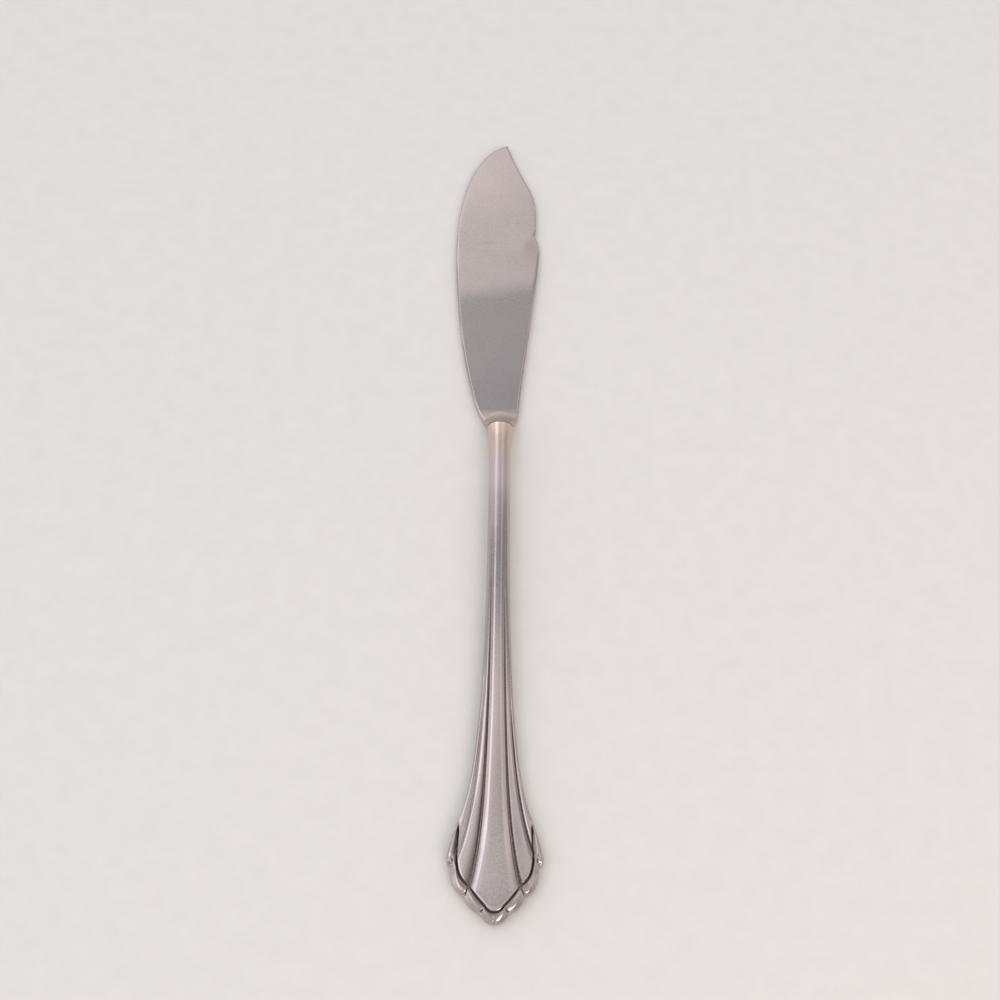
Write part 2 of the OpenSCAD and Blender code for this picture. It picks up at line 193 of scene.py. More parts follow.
def mix(a, b, t):
    return a + (b - a) * t


def ease(t):
    t = min(1.0, max(0.0, t))
    return t * t * (3 - 2 * t)


def bezier(points, t):
    while len(points) > 1:
        points = [p.lerp(q, t) for p, q in zip(points, points[1:])]
    return points[0]


def makePiece(name, vertices, faces, sharpAngle):
    mesh = bpy.data.meshes.new(name)
    mesh.from_pydata(vertices, [], faces)
    shell = bmesh.new()
    shell.from_mesh(mesh)
    bmesh.ops.recalc_face_normals(shell, faces=shell.faces)
    shell.to_mesh(mesh)
    shell.free()
    mesh.shade_smooth()
    mesh.set_sharp_from_angle(angle=math.radians(sharpAngle))
    piece = bpy.data.objects.new(name, mesh)
    bpy.context.scene.collection.objects.link(piece)
    return piece


# steel with clouds and speckle in its tone and a grain along the knife, and the sockets a finish builds on
def wornSteel(name, look):
    material, tree, shader, spot = newMaterial(name, 1.0)
    start = addNode(tree, "ShaderNodeVectorMath", {}, {0: spot, 1: patternStart}).outputs["Vector"]
    cloud = addNode(tree, "ShaderNodeTexNoise", {}, {
        "Vector": start, "Scale": 1 / (look["cloud"] * mm), "Detail": 3.0,
        "Roughness": look["cloudRoughness"]}).outputs["Fac"]
    speckle = addNode(tree, "ShaderNodeTexNoise", {}, {
        "Vector": start, "Scale": 1 / (look["speckle"] * mm), "Detail": 2.0,
        "Roughness": 0.6}).outputs["Fac"]
    across, along = look["grain"]
    stretched = addNode(tree, "ShaderNodeMapping", {}, {
        "Vector": start, "Scale": (1 / (across * mm), 1 / (along * mm), 1 / (across * mm))})
    grain = addNode(tree, "ShaderNodeTexNoise", {}, {
        "Vector": stretched.outputs["Vector"], "Scale": 1.0, "Detail": 3.0,
        "Roughness": look["grainRoughness"]}).outputs["Fac"]
    share = look["cloudShare"]
    clouded = addNode(tree, "ShaderNodeMath", timesPlus, {0: cloud, 1: share, 2: -share / 2})
    tone = addNode(tree, "ShaderNodeMath", {"operation": "ADD", "use_clamp": True}, {
        0: speckle, 1: clouded.outputs[0]})
    steel = addNode(tree, "ShaderNodeMix", inColor, {
        0: tone.outputs[0], 6: hexToLinear(look["shade"]), 7: hexToLinear(look["steel"])})
    low, high = look["roughness"]
    dull = addNode(tree, "ShaderNodeMapRange", {}, {
        "Value": speckle, "From Min": 0.3, "From Max": 0.7, "To Min": low, "To Max": high})
    relief = addNode(tree, "ShaderNodeMath", {"operation": "ADD"}, {0: grain, 1: speckle})
    bump = addNode(tree, "ShaderNodeBump", {}, {
        "Height": relief.outputs[0], "Strength": 1.0, "Distance": look["grainDepth"] * mm})
    tree.links.new(bump.outputs["Normal"], shader.inputs["Normal"])
    worn = {"spot": spot, "cloud": cloud, "speckle": speckle,
            "color": steel.outputs[2], "roughness": dull.outputs["Result"]}
    return material, tree, shader, worn


# blade

bladeSettings = {
    # sizes in mm, along the blade from the joint
    "length": 73.8, "edgeReach": 10.05, "spineReach": 8.05, "widest": 44.4,
    "thickness": 1.6, "tipThickness": 1.1, "edgeRound": 0.5,
    "leastFlat": 0.02,  # what is left flat at least between two rounded corners, on each side
    "notchAfter": 4.25, "notchDepth": 1.1, "nickLength": 2.4, "tipX": 0.8, "tipWidth": 0.4,
    "ramp": 4.4, "rampPower": 1.7, "rampArch": 0.3, "rampLeast": 0.2, "bolsterRadius": 2.7, "jointZ": 2.85,
    "tangRadius": 1.2, "tangLength": 14.1,
    "bellyGrind": (1.3, 0.045), "spineGrind": (0.8, 0.03),  # width and drop of the soft bevels
    "grindStart": 15.0, "grindFull": 38.0,  # where they begin along the blade, and are whole
    "rampRows": 40, "rows": (8, 40, 24, 16, 60), "columns": 30, "cornerSteps": 8, "sharpAngle": 35,
    # steel
    "steel": "#cabeb9", "shade": "#aca19d", "stain": "#a3968a", "heated": "#cdb6a5",
    "cloud": 9.0, "cloudShare": 0.6, "cloudRoughness": 0.55, "speckle": 0.34,
    "grain": (0.16, 3.0), "grainRoughness": 0.6, "grainDepth": 0.00015,
    "roughness": (0.02, 0.06), "rampRoughness": 0.45,
    "heatFrom": 5.5, "heatFull": 3.0, "heatShare": 0.4,  # on the ramp
    # marks of use: centre in the knife's frame, reach across and along, strength
    "marks": [((7.0, 58.0), (2.6, 4.5), 0.5), ((-2.2, 59.0), (3.4, 0.7), 0.3)],
    "markThrough": 20.0, "markRag": 0.8, "markFade": (1.4, 0.5),
}


def satinBladeSteel(look, jointY):
    # stainless strip, belt ground and long used: soft satin reflections, fine lengthwise grain
    # the real grain is finer than a pixel, so it is drawn a few times coarser to show
    material, tree, shader, worn = wornSteel("satin ground stainless", look)
    color = worn["color"]
    faint, whole = look["markFade"]
    for (x, y), (wide, long), strength in look["marks"]:
        reach = Vector((wide, long, look["markThrough"])) * mm
        near = addNode(tree, "ShaderNodeMapping", {"vector_type": "TEXTURE"}, {
            "Vector": worn["spot"], "Location": (x * mm, y * mm, 0), "Scale": reach})
        away = addNode(tree, "ShaderNodeVectorMath", {"operation": "LENGTH"}, {0: near.outputs["Vector"]})
        ragged = addNode(tree, "ShaderNodeMath", timesPlus, {
            0: worn["cloud"], 1: look["markRag"], 2: away.outputs["Value"]})
        mark = addNode(tree, "ShaderNodeMapRange", smooth, {
            "Value": ragged.outputs[0], "From Min": faint, "From Max": whole, "To Max": strength})
        color = addNode(tree, "ShaderNodeMix", inColor, {
            0: mark.outputs["Result"], 6: color, 7: hexToLinear(look["stain"])}).outputs[2]
    # the belt does not reach into the ramp, which stays duller and keeps a tint of the brazing heat
    along = addNode(tree, "ShaderNodeSeparateXYZ", {}, {0: worn["spot"]}).outputs["Y"]
    onRamp = addNode(tree, "ShaderNodeMapRange", smooth, {
        "Value": along,
        "From Min": jointY + look["heatFrom"] * mm, "From Max": jointY + look["heatFull"] * mm})
    heat = addNode(tree, "ShaderNodeMath", times, {0: onRamp.outputs["Result"], 1: look["heatShare"]})
    color = addNode(tree, "ShaderNodeMix", inColor, {
        0: heat.outputs[0], 6: color, 7: hexToLinear(look["heated"])}).outputs[2]
    tree.links.new(color, shader.inputs["Base Color"])
    rough = addNode(tree, "ShaderNodeMix", {}, {
        0: onRamp.outputs["Result"], 2: worn["roughness"], 3: look["rampRoughness"]})
    tree.links.new(rough.outputs[0], shader.inputs["Roughness"])
    return material


# the round edge and the notched spine, as curves from the joint to the tip
def bladeChains(size):
    root, reach, widest, length = size["bolsterRadius"], size["edgeReach"], size["widest"], size["length"]
    point, half = length - widest, size["tipWidth"] / 2
    heel = (-0.45 * reach, 0.095 * widest)
    edge = [
        [(-root, 0), (-1.11 * root, 0.23 * heel[1]), (0.85 * heel[0], 0.6 * heel[1]), heel],
        [heel, (-0.77 * reach, 0.277 * widest), (-reach, 0.73 * widest), (-reach, widest)],
        [(-reach, widest), (-reach, widest + 0.9 * point), (-0.04 * reach, length),
         (size["tipX"] - half, length)],
    ]
    reach = size["spineReach"]
    shoulder = (0.465 * reach, 0.088 * widest)
    notch = (reach - size["notchDepth"], widest + size["notchAfter"])
    nick = (notch[0] + 0.37 * size["notchDepth"], notch[1] + size["nickLength"])
    clip = length - nick[1]
    spine = [
        [(root, 0), (1.15 * root, 0.3 * shoulder[1]), (0.93 * shoulder[0], 0.6 * shoulder[1]), shoulder],
        [shoulder, (1.28 * shoulder[0], 0.39 * widest), (reach, 0.85 * widest), (reach, widest)],
        [(reach, widest), (reach, mix(widest, notch[1], 0.6)),
         (mix(notch[0], reach, 0.45), mix(widest, notch[1], 0.88)), notch],
        [notch, (mix(notch[0], reach, 0.28), mix(notch[1], nick[1], 0.2)),
         (nick[0], mix(notch[1], nick[1], 0.5)), nick],
        [nick, (1.06 * nick[0], nick[1] + 0.48 * clip), (0.74 * nick[0], nick[1] + 0.41 * clip),
         (size["tipX"] + half, length)],
    ]
    return [[[Vector(p) for p in curve] for curve in chain] for chain in (edge, spine)]


def chainX(chain, y):
    curve = next((c for c in chain if y <= c[-1].y), chain[-1])
    low, high = 0.0, 1.0
    for halving in range(26):
        middle = (low + high) / 2
        if bezier(curve, middle).y < y:
            low = middle
        else:
            high = middle
    return bezier(curve, low).x


# the front falls steeply from the bolster and runs out into the flat
def bladeFront(size, y, ramp):
    outward = max(0.0, (y - size["ramp"]) / (size["length"] - size["ramp"]))
    flat = mix(size["thickness"], size["tipThickness"], outward)
    return mix(flat, size["jointZ"] + size["bolsterRadius"], max(0.0, 1 - y / ramp) ** size["rampPower"])


def bladeRing(size, edge, spine, columns, y):
    left, right = chainX(edge, y), chainX(spine, y)
    down = ease(y / size["ramp"])
    back = mix(size["jointZ"] - size["bolsterRadius"], 0, down)
    front = bladeFront(size, y, size["ramp"])
    r = mix(size["bolsterRadius"], size["edgeRound"], down)
    r = min(r, (front - back) / 2 - size["leastFlat"], (right - left) / 2 - size["leastFlat"])
    ring = []
    corners = [(left + r, back + r, 270), (left + r, front - r, 180),
               (right - r, front - r, 90), (right - r, back + r, 0)]
    for index, (cx, cz, start) in enumerate(corners):
        for k in range(size["cornerSteps"] + 1):
            turn = math.radians(start - 90 * k / size["cornerSteps"])
            ring.append((cx + r * math.cos(turn), cz + r * math.sin(turn)))
        if index == 1:
            ring += [(mix(left + r, right - r, c), front) for c in columns]
        if index == 3:
            ring += [(mix(right - r, left + r, c), back) for c in columns]
    ground = ease((y - size["grindStart"]) / (size["grindFull"] - size["grindStart"]))
    shaped = []
    for x, z in ring:
        # beside the axis the ramp is shorter, so that it meets the flat in an arch
        arch = 1 - size["rampArch"] * (x / size["bolsterRadius"]) ** 2
        drop = front - bladeFront(size, y, size["ramp"] * max(size["rampLeast"], arch))
        for inward, (width, depth) in ((x - left, size["bellyGrind"]), (right - x, size["spineGrind"])):
            drop += ground * depth * max(0.0, 1 - inward / width) ** 2
        shaped.append((x, z - drop * (z - back) / (front - back)))
    return shaped


def makeBlade(size):
    low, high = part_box("blade")
    axisX = sum(corner.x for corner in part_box("handle")) / 2
    jointY = high.y - size["length"] * mm
    edge, spine = bladeChains(size)
    stops = [size["ramp"] * k / size["rampRows"] for k in range(size["rampRows"] + 1)]
    for curve, count in zip(spine, size["rows"]):
        rows = [bezier(curve, (k + 1) / count).y for k in range(count)]
        stops += [y for y in rows if y > size["ramp"]]
    # columns of the flat faces lie close together near the edges, where the bevels run
    count = size["columns"]
    columns = [(1 - math.cos(math.pi * k / count)) / 2 for k in range(1, count)]
    rings = [[(x, y, z) for x, z in bladeRing(size, edge, spine, columns, y)] for y in stops]
    turns = [math.atan2(z - size["jointZ"], x) for x, y, z in rings[0]]
    tangRadius = size["tangRadius"]
    tang = [(tangRadius * math.cos(a), size["jointZ"] + tangRadius * math.sin(a)) for a in turns]
    rings = [[(x, y, z) for x, z in tang] for y in (-size["tangLength"], 0.0)] + rings
    around = len(turns)
    faces = [list(range(around)), [(len(rings) - 1) * around + i for i in range(around)]]
    for row in range(len(rings) - 1):
        for i in range(around):
            a, b = row * around + i, row * around + (i + 1) % around
            faces.append([a, b, b + around, a + around])
    vertices = [(axisX + x * mm, jointY + y * mm, z * mm) for ring in rings for x, y, z in ring]
    return makePiece("butter_blade", vertices, faces, size["sharpAngle"])


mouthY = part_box("handle")[1].y
blade = makeBlade(bladeSettings)
blade.data.materials.append(satinBladeSteel(bladeSettings, mouthY))
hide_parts("blade")
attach(blade, "root")
print("blade made:", len(blade.data.polygons), "faces")

# handle: a plain domed blank, struck by a geometry node tree

handleSettings = {
    # sizes in mm, along the handle from its scalloped end
    "length": 98.1, "mouth": 5.3, "jointZ": 2.85, "neckWidth": 4.1, "neckThickness": 3.9,
    "mouthRun": 0.45,  # the neck swells to the mouth over this share of the mouth's width
    "endThickness": 2.8, "rimThickness": 1.5, "rimRound": 0.2,
    # the rise to the neck: its start in scroll lengths, its end as a share of the length
    "liftFrom": 0.45, "liftFull": 0.76,
    "scrollWidth": 17.4, "scrollLength": 17.6, "shoulderWidth": 12.9, "flareLength": 16.0,
    "shoulderSwell": 0.5, "swellLength": 4.0,  # the sides widen a little more just before the scrolls
    "lobeNeck": 1.25, "lobeSpread": 1.35, "lobeFlare": 20.0,  # half width of the middle lobe
    "flankLobe": 3.5,  # past this half width the lobe's flanks grow no wider
    "socketRadius": 1.3, "socketLength": 14.1,
    # places across one half, as shares from the middle to the side
    "innerFlute": 0.55, "outerFlute": 0.87, "lobeCusp": 0.2, "curlCusp": 0.76,
    "fanStart": 1.53, "fanBend": 0.68,  # the fan's start, in scroll lengths, and where its columns bend
    "foldCrest": (0.42, 0.85), "foldBlend": 0.012,  # a petal's crest across the rim, upper cut to lower
    "cutWidth": 0.14, "cutRun": 0.3, "lobeCutStart": 0.25,  # the lobe's cut starts further out on the rim
    "curlSpot": (8.15, 11.0), "curlRadius": 0.75,
    "hookRadius": 0.6, "hookWidth": 0.15, "hookSide": (-1.0, -0.4), "hookSpread": 1.6,
    "shaftRows": 52, "fanRows": 72, "rimRows": 24, "rowPowers": (1.3, 1.6, 1.2),
    "columnSteps": (16, 28, 20, 14, 18), "edgeTurns": (30, 60, 90, 120, 150), "sharpAngle": 50,
    # inputs of the strike: depths and heights in mm, places in mm from the handle's end
    "relief": {
        "Flute depth": 0.5, "Outer depth": 0.3, "Groove depth": 0.4, "Bead height": 0.38, "Cut depth": 0.25,
        "Curl height": 0.22, "Inner flutes from": 84.0, "Inner flutes full": 34.0,
        "Outer flutes from": 52.0, "Outer flutes full": 30.0,
        "Dark flutes from": 60.0, "Dark flutes full": 20.0,
    },
    # steel
    "steel": "#cbbfb9", "shade": "#aa9d98", "wipedAndSheen": "#d0c0bd", "heated": "#dac2a8", "tarnishAndShade": "#4b3a33",
    "cloud": 7.0, "cloudShare": 0.4, "cloudRoughness": 0.5, "speckle": 0.3,
    "grain": (0.12, 5.0), "grainRoughness": 0.5, "grainDepth": 0.0004,
    "roughness": (0.10, 0.17), "tarnishRoughness": 0.5, "tarnishFull": 0.9,
    # dirt, and painted shade where the light from the left leaves a side in shade: on the left half and on
    # the right, and on both
    "innerDirtAndShade": (0.62, 0.78), "outerDirtAndShade": (0.2, 0.85), "leafShade": (0.95, 0.5),
    "grooveDirt": 0.75, "cutDirt": 0.7,
    # tints of the neck, from the joint; the lighter one is partly a painted sheen for the neck's broad soft
    # highlight
    "wipedFrom": 20.0, "wipedFull": 11.0, "heatFrom": 8.5, "heatFull": 5.0, "heatShare": 0.55,
    # least roughness along the neck, over this length from the joint
    "dullLength": 40.0, "dullNeck": [(0.0, 0.268), (0.2, 0.265), (0.36, 0.25), (0.46, 0.15), (1.0, 0.1)],
}


def swell(size, y):
    return math.exp((y - size["length"]) / (size["mouthRun"] * size["mouth"]))


def flare(size, y):
    past = size["scrollLength"] - y
    swelling = size["shoulderSwell"] * math.exp(-(past / size["swellLength"]) ** 2)
    return (size["shoulderWidth"] - size["neckWidth"]) / 2 * math.exp(past / size["flareLength"]) + swelling


def lipHalf(size, y):
    neck = size["neckWidth"] / 2 - size["rimRound"]
    return neck + flare(size, y) + (size["mouth"] - size["neckWidth"]) / 2 * swell(size, y)


# where a column lies: the middle lobe spreads more slowly than the shaft's edges
def columnX(size, share, y):
    lobe = size["lobeNeck"] + size["lobeSpread"] * math.exp((size["scrollLength"] - y) / size["lobeFlare"])
    if share < size["innerFlute"]:
        return share / size["innerFlute"] * lobe
    return mix(lobe, lipHalf(size, y), (share - size["innerFlute"]) / (1 - size["innerFlute"]))


def lift(size, y):
    low, slim = size["liftFrom"] * size["scrollLength"], size["liftFull"] * size["length"]
    return ease((y - low) / (slim - low))


def middleZ(size, y):
    return mix(size["endThickness"] / 2, size["jointZ"], lift(size, y))


# across, front and back are caps of an ellipse, which the neck's round edges carry on
def capShare(size):
    share = 1 - 2 * size["rimRound"] / size["neckWidth"]
    return share, math.sqrt(1 - share ** 2)


def lipThickness(size, y):
    return mix(size["rimThickness"], size["neckThickness"] * capShare(size)[1], lift(size, y)) / 2


def dome(size, x, y):
    half = mix(size["endThickness"], size["neckThickness"], lift(size, y)) / 2
    half += (size["mouth"] - size["neckThickness"]) / 2 * swell(size, y)
    share, foot = capShare(size)
    across = share * min(1.0, abs(x) / lipHalf(size, y))
    return mix(lipThickness(size, y), half, (math.sqrt(1 - across ** 2) - foot) / (1 - foot))


# the scalloped outline and the border groove inside it, from the middle of the end to the scroll's top
def endChains(size):
    wide, long = size["scrollWidth"] / 2 - size["rimRound"], size["scrollLength"]
    borderLong = 1.035
    scrollTop = (lipHalf(size, long) / wide, 1.0)
    borderTop = (lipHalf(size, borderLong * long) / wide, borderLong)
    outline = [
        (size["lobeCusp"], [(0, 0.01), (0.18, 0.01), (0.29, 0.115)]),
        (size["innerFlute"], [(0.29, 0.115), (0.56, 0.16), (0.62, 0.28)]),
        (size["curlCusp"], [(0.62, 0.28), (0.92, 0.32), (0.9, 0.57)]),
        (size["outerFlute"], [(0.9, 0.57), (1.01, 0.57), (1, 0.66)]),
        (1, [(1, 0.66), (0.945, 0.8), scrollTop]),
    ]
    border = [
        (size["lobeCusp"], [(0, 0.12), (0.135, 0.12), (0.19, 0.18)]),
        (size["innerFlute"], [(0.19, 0.18), (0.4, 0.275), (0.53, 0.38)]),
        (size["outerFlute"], [(0.53, 0.38), (0.83, 0.45), (0.79, 0.72)]),
        (1, [(0.79, 0.72), (0.76, 0.85), borderTop]),
    ]
    return [[(end, [Vector((x * wide, y * long)) for x, y in points]) for end, points in chain]
            for chain in (outline, border)]


def onChain(chain, share):
    start = 0.0
    for end, points in chain:
        if share <= end:
            return bezier(points, (share - start) / (end - start))
        start = end


# rows lie closer together at the mouth and on both sides of the groove, the powers say how much
def handleRows(size):
    shaft, fan, rim = size["rowPowers"]
    rows = [("shaft", (k / size["shaftRows"]) ** shaft) for k in range(size["shaftRows"] + 1)]
    rows += [("fan", 1 - (1 - k / size["fanRows"]) ** fan) for k in range(1, size["fanRows"] + 1)]
    return rows + [("rim", (k / size["rimRows"]) ** rim) for k in range(1, size["rimRows"] + 1)]


def handleColumns(size):
    stops = (0.0, size["lobeCusp"], size["innerFlute"], size["curlCusp"], size["outerFlute"], 1.0)
    half = []
    for start, end, count in zip(stops, stops[1:], size["columnSteps"]):
        half += [mix(start, end, (1 - math.cos(math.pi * k / count)) / 2) for k in range(1, count + 1)]
    return [-share for share in reversed(half)] + [0.0] + half


# each petal is folded: its crest starts inside, at the upper cut, and runs outward to the lower one
def petalFold(size, share, rim):
    stops = (0.0, size["lobeCusp"], size["innerFlute"], size["curlCusp"])
    nearby = (share - size["foldBlend"], share, share + size["foldBlend"])
    down = 0.0
    for near in nearby:
        below = [(high - near) / (high - low) for low, high in zip(stops, stops[1:]) if low <= near < high]
        down += sum(below) / len(nearby)
    crest, atCrest = mix(*size["foldCrest"], down), 0.45
    if rim < crest:
        return atCrest * rim / crest
    return mix(atCrest, 1.0, (rim - crest) / (1 - crest))


# place of one point of the plan, its distance from the border groove, and how far out on the rim it is
def planPoint(size, chains, row, share):
    outline, border = chains
    kind, t = row
    fanY, clearOfGroove = size["fanStart"] * size["scrollLength"], 9.0
    if kind == "shaft":
        y = mix(size["length"], fanY, t)
        return Vector((columnX(size, share, y), y)), clearOfGroove, 0.0
    foot = onChain(border, share)
    if kind == "fan":
        top = Vector((columnX(size, share, fanY), fanY))
        drop = (fanY - foot.y) * size["fanBend"]
        slope = columnX(size, share, fanY - 1) - top.x
        bend = Vector((top.x + slope * drop, fanY - drop))
        return bezier([top, bend, foot], t), (1 - t) * (foot - top).length, 0.0
    rim = onChain(outline, share)
    return foot.lerp(rim, t), t * (rim - foot).length, t


# how much a point of the rim belongs to a cut between petals, to the curl's bead, to the hook beside it
def rimMarks(size, spot, rim, cusps):
    if not rim:
        return {"cut": 0.0, "curl": 0.0, "hook": 0.0}
    apart, start = min(((spot - cusp).length, start) for cusp, start in cusps)
    cut = ease((rim - start) / size["cutRun"]) * math.exp(-(apart / size["cutWidth"]) ** 2)
    away = spot - Vector(size["curlSpot"])
    curl = max(0.0, 1 - away.length / size["curlRadius"])
    hook = math.exp(-((away.length - size["hookRadius"]) / size["hookWidth"]) ** 2)
    facing = away.normalized().dot(Vector(size["hookSide"]).normalized())
    return {"cut": cut, "curl": curl, "hook": hook * ease(size["hookSpread"] * facing)}


# points of the plan, row by row, and what the strike has to know at each of them
def blankPlan(size, rows, columns):
    chains, flute = endChains(size), size["innerFlute"]
    cutStarts = {size["lobeCusp"]: size["lobeCutStart"], flute: 0.0}
    spots = []
    traits = {name: [] for name in ("across", "gap", "rim", "fold", "cut", "curl", "hook")}
    for row in rows:
        lobeHalf = (planPoint(size, chains, row, flute)[0] - planPoint(size, chains, row, 0.0)[0]).length
        steeper = max(1.0, lobeHalf / size["flankLobe"])
        cusps = [(planPoint(size, chains, row, cusp)[0], start) for cusp, start in cutStarts.items()]
        for signed in columns:
            share = abs(signed)
            spot, gap, rim = planPoint(size, chains, row, share)
            across = share if share >= flute else max(0.0, flute - (flute - share) * steeper)
            known = {"across": across, "gap": gap, "rim": rim, "fold": petalFold(size, share, rim)}
            for name, value in {**known, **rimMarks(size, spot, rim, cusps)}.items():
                traits[name].append(value)
            spots.append(Vector((math.copysign(spot.x, signed) if signed else 0.0, spot.y)))
    return spots, traits


# front and back of the blank; on the rim they run from the groove's height to the lip's
def blankSides(size, spots, rims, wide):
    foot = len(spots) - (size["rimRows"] + 1) * wide  # first point of the row in the groove
    front, back = [], []
    for i, spot in enumerate(spots):
        rise = dome(size, spot.x, spot.y)
        if rims[i]:
            groove = spots[foot + i % wide]
            rise = mix(dome(size, groove.x, groove.y), lipThickness(size, spot.y), ease(rims[i]))
        front.append((spot.x, spot.y, middleZ(size, spot.y) + rise))
        back.append((spot.x, spot.y, middleZ(size, spot.y) - rise))
    return front, back


# points of the rounded edge, along one side, the scalloped end and the other side
def edgePoints(size, spots, path):
    last = len(path) - 1
    points = []
    for turn in size["edgeTurns"]:
        angle, down = math.radians(turn), 1 - turn / 90
        for k, i in enumerate(path):
            run = (spots[path[min(k + 1, last)]] - spots[path[max(k - 1, 0)]]).normalized()
            x, y = spots[i]
            # a round edge at the end, which becomes part of the round neck further up
            out = mix(math.sin(angle), 1 - down * down, lift(size, y)) * size["rimRound"]
            z = middleZ(size, y) + lipThickness(size, y) * mix(math.cos(angle), down, lift(size, y))
            points.append((x + run.y * out, y - (run.x * out if 0 < k < last else 0.0), z))
    return points


# mouth ring's flat face and the blind socket for the tang
def addSocket(size, vertices, faces, ring):
    start, around, bore = len(vertices), len(ring), size["socketRadius"]
    for depth in (0.0, size["socketLength"]):
        for i in ring:
            angle = math.atan2(vertices[i][2] - size["jointZ"], vertices[i][0])
            z = size["jointZ"] + bore * math.sin(angle)
            vertices.append((bore * math.cos(angle), size["length"] - depth, z))
    for k in range(around):
        n = (k + 1) % around
        faces.append([ring[k], ring[n], start + n, start + k])
        faces.append([start + k, start + n, start + around + n, start + around + k])
    faces.append([start + around + k for k in range(around)])


def makeBlank(size):
    rows, columns = handleRows(size), handleColumns(size)
    spots, traits = blankPlan(size, rows, columns)
    wide, tall, count = len(columns), len(rows), len(spots)
    path = [r * wide for r in range(tall)] + [(tall - 1) * wide + c for c in range(1, wide - 1)]
    path += [r * wide + wide - 1 for r in range(tall - 1, -1, -1)]
    front, back = blankSides(size, spots, traits["rim"], wide)
    vertices = front + back + edgePoints(size, spots, path)
    faces = []
    for r in range(tall - 1):
        for c in range(wide - 1):
            a = r * wide + c
            faces.append([a, a + 1, a + wide + 1, a + wide])
            faces.append([count + a, count + a + wide, count + a + wide + 1, count + a + 1])
    firsts = [2 * count + n * len(path) for n in range(len(size["edgeTurns"]))]
    lines = [path] + [[first + k for k in range(len(path))] for first in firsts] + [[count + i for i in path]]
    for upper, lower in zip(lines, lines[1:]):
        for k in range(len(path) - 1):
            faces.append([upper[k], upper[k + 1], lower[k + 1], lower[k]])
    mouthRing = list(range(wide)) + [line[-1] for line in lines[1:-1]]
    mouthRing += [count + c for c in range(wide - 1, -1, -1)] + [line[0] for line in reversed(lines[1:-1])]
    addSocket(size, vertices, faces, mouthRing)
    low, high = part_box("handle")
    axisX, endY = (low.x + high.x) / 2, high.y - size["length"] * mm
    placed = [(axisX + x * mm, endY + y * mm, z * mm) for x, y, z in vertices]
    piece = makePiece("fluted_handle", placed, faces, size["sharpAngle"])
    traits["front"] = [1.0] * count
    for name, values in traits.items():
        values += [0.0] * (len(vertices) - len(values))
        piece.data.attributes.new(name, "FLOAT", "POINT").data.foreach_set("value", values)
    return piece, endY


# the flutes leave a broad lobe in the middle and narrow ones beside it, and fade in along the shaft
def addFlutes(tree, given, trait):
    innerOn = addNode(tree, "ShaderNodeMapRange", smooth, {
        "Value": trait["along"],
        "From Min": given["Inner flutes from"], "From Max": given["Inner flutes full"]})
    outerOn = addNode(tree, "ShaderNodeMapRange", smooth, {
        "Value": trait["along"],
        "From Min": given["Outer flutes from"], "From Max": given["Outer flutes full"]})
    innerShape = addNode(tree, "ShaderNodeFloatCurve", {}, {"Value": trait["across"]}, [
        (0.0, 0.0), (0.15, 0.0), (0.25, 0.04), (0.3, 0.1), (0.35, 0.21), (0.4, 0.37), (0.48, 0.66),
        (0.55, 1.0), (0.56, 0.8), (0.575, 0.45), (0.595, 0.2), (0.625, 0.08), (0.68, 0.02), (0.74, 0.0),
        (1.0, 0.0)])
    outerShape = addNode(tree, "ShaderNodeFloatCurve", {}, {"Value": trait["across"]}, [
        (0.0, 0.0), (0.75, 0.0), (0.79, 0.1), (0.82, 0.35), (0.855, 0.8), (0.875, 1.0),
        (0.9, 0.78), (0.94, 0.26), (0.98, 0.04), (1.0, 0.0)])
    inner = addNode(tree, "ShaderNodeMath", times, {0: innerShape.outputs[0], 1: innerOn.outputs["Result"]})
    outer = addNode(tree, "ShaderNodeMath", times, {0: outerShape.outputs[0], 1: outerOn.outputs["Result"]})
    innerDrop = addNode(tree, "ShaderNodeMath", times, {0: inner.outputs[0], 1: given["Flute depth"]})
    flutes = addNode(tree, "ShaderNodeMath", timesPlus, {
        0: outer.outputs[0], 1: given["Outer depth"], 2: innerDrop.outputs[0]})
    offRim = addNode(tree, "ShaderNodeMapRange", smooth, {
        "Value": trait["rim"], "From Min": 0.0, "From Max": 0.5, "To Min": 1.0, "To Max": 0.0})
    drop = addNode(tree, "ShaderNodeMath", times, {0: flutes.outputs[0], 1: offRim.outputs["Result"]})
    return {"outerOn": outerOn.outputs["Result"], "offRim": offRim.outputs["Result"], "drop": drop.outputs[0]}


# the groove that frames the end runs out at the tops of the scrolls
def addGroove(tree, given, trait):
    runout = addNode(tree, "ShaderNodeMapRange", smooth, {
        "Value": trait["across"], "From Min": 1.0, "From Max": 0.965}).outputs["Result"]
    # the groove's profile reaches 2 mm to each side
    apart = addNode(tree, "ShaderNodeMath", {**times, "use_clamp": True}, {0: trait["gap"], 1: 0.5})
    shape = addNode(tree, "ShaderNodeFloatCurve", {}, {"Value": apart.outputs[0]}, [
        (0.0, 1.0), (0.05, 0.93), (0.12, 0.5), (0.22, 0.2), (0.45, 0.05), (1.0, 0.0)])
    groove = addNode(tree, "ShaderNodeMath", times, {0: shape.outputs[0], 1: runout})
    drop = addNode(tree, "ShaderNodeMath", times, {0: groove.outputs[0], 1: given["Groove depth"]})
    return {"runout": runout, "shape": groove.outputs[0], "drop": drop.outputs[0]}


